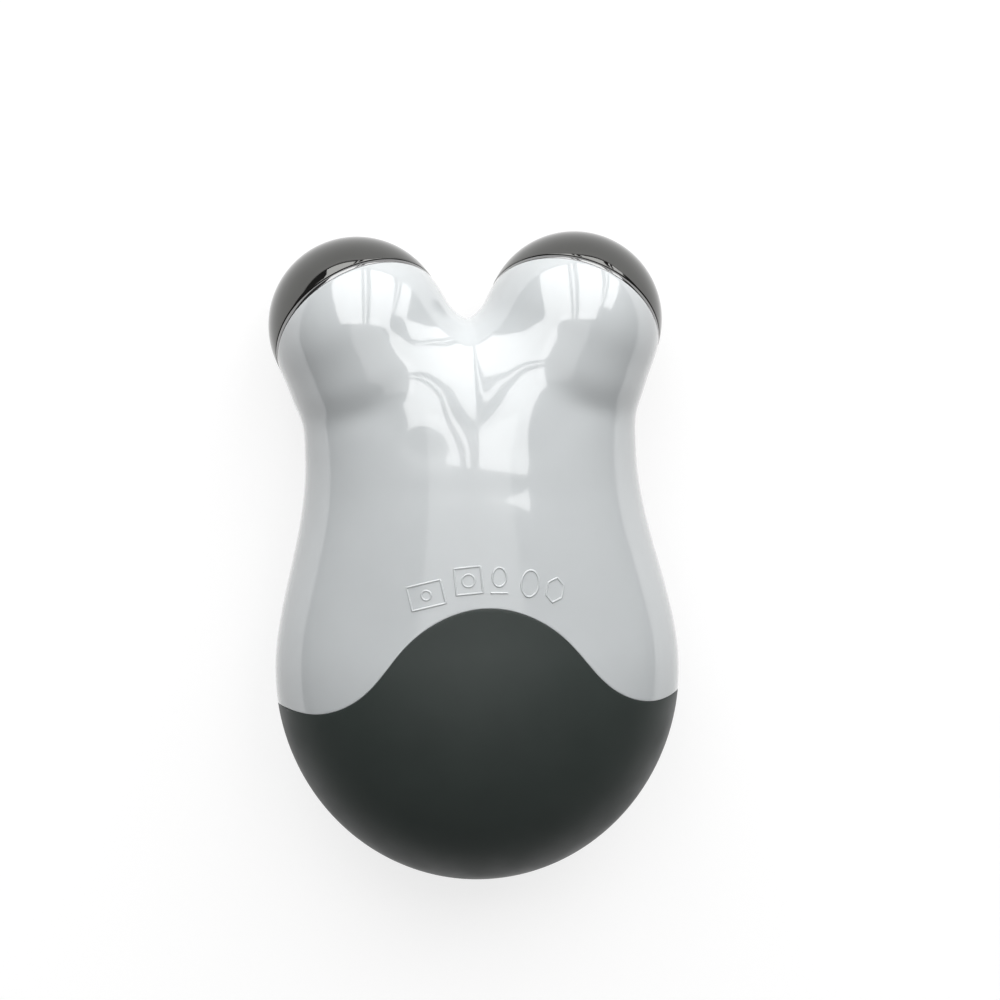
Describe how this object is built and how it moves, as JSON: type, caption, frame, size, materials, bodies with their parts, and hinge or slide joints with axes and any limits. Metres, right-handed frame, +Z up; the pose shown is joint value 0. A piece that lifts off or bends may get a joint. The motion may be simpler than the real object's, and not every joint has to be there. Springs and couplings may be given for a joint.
{
  "type": "facial toning device",
  "caption": "Palm-sized facial toning device: a rounded glossy body with a soft grip cover, and a pair of horns that each carry a polished metal electrode dome.",
  "frame": {"origin": "bottom centre of the bounding box, on the table that the device lies on, face down", "axes": "+Y from the round grip end to the two domes, +Z up out of the rear face, +X to the right seen from the rear"},
  "size_m": [0.0662, 0.1057, 0.035],
  "materials": {
    "white_shell": "glossy moulded white plastic",
    "grip": "matt soft-touch dark grey",
    "dome_metal": "polished metal",
    "bezel_metal": "polished metal",
    "button_cap": "satin white plastic",
    "lens": "milky clear plastic",
    "socket_black": "black moulded plastic",
    "cup_plastic": "pale grey moulded plastic",
    "seal": "black silicone",
    "brass": "bright brass",
    "steel": "zinc-plated steel",
    "board": "green solder mask",
    "component_black": "black moulded epoxy",
    "can_metal": "drawn aluminium",
    "connector_white": "white nylon",
    "battery_foil": "silver laminated pouch",
    "foam": "dark foam",
    "wire_red": "red insulation",
    "wire_black": "black insulation",
    "wire_blue": "blue insulation"
  },
  "bodies": {
    "root": {"rear_housing": "white_shell", "front_housing": "white_shell", "grip_cover": "grip", "button_bezel": "bezel_metal", "tact_switch": "component_black", "indicator_lenses": "lens", "indicator_leds": "lens", "main_board": "board", "board_screws": "steel", "battery_cell": "battery_foil", "battery_pad": "foam", "battery_connector": "connector_white", "control_chip": "component_black", "boost_inductor": "component_black", "capacitors": "can_metal", "buzzer": "component_black", "charging_socket": "socket_black", "socket_centre_pin": "brass", "housing_screws": "steel", "right_electrode_dome": "dome_metal", "right_bezel_ring": "bezel_metal", "right_socket_cup": "cup_plastic", "right_gasket": "seal", "right_electrode_stud": "brass", "right_terminal_tag": "brass", "right_stud_nut": "steel", "right_electrode_lead": "wire_blue", "left_electrode_dome": "dome_metal", "left_bezel_ring": "bezel_metal", "left_socket_cup": "cup_plastic", "left_gasket": "seal", "left_electrode_stud": "brass", "left_terminal_tag": "brass", "left_stud_nut": "steel", "left_electrode_lead": "wire_blue", "red_battery_lead": "wire_red", "black_battery_lead": "wire_black", "red_socket_lead": "wire_red", "black_socket_lead": "wire_black"},
    "button": {"power_button": "button_cap"},
    "plunger": {"switch_plunger": "component_black"}
  },
  "joints": [
    {"name": "button_press", "type": "slide", "parent": "root", "child": "button", "axis": [0, 0, 1], "range_m": [0, 0.0004], "stiffness_N_per_m": 400, "springref_m": -0.0025},
    {"name": "plunger_press", "type": "slide", "parent": "root", "child": "plunger", "axis": [0, 0, 1], "range_m": [0, 0.0004]}
  ],
  "couplings": [
    {"joint": "plunger_press", "follows": "button_press", "ratio": 1}
  ]
}
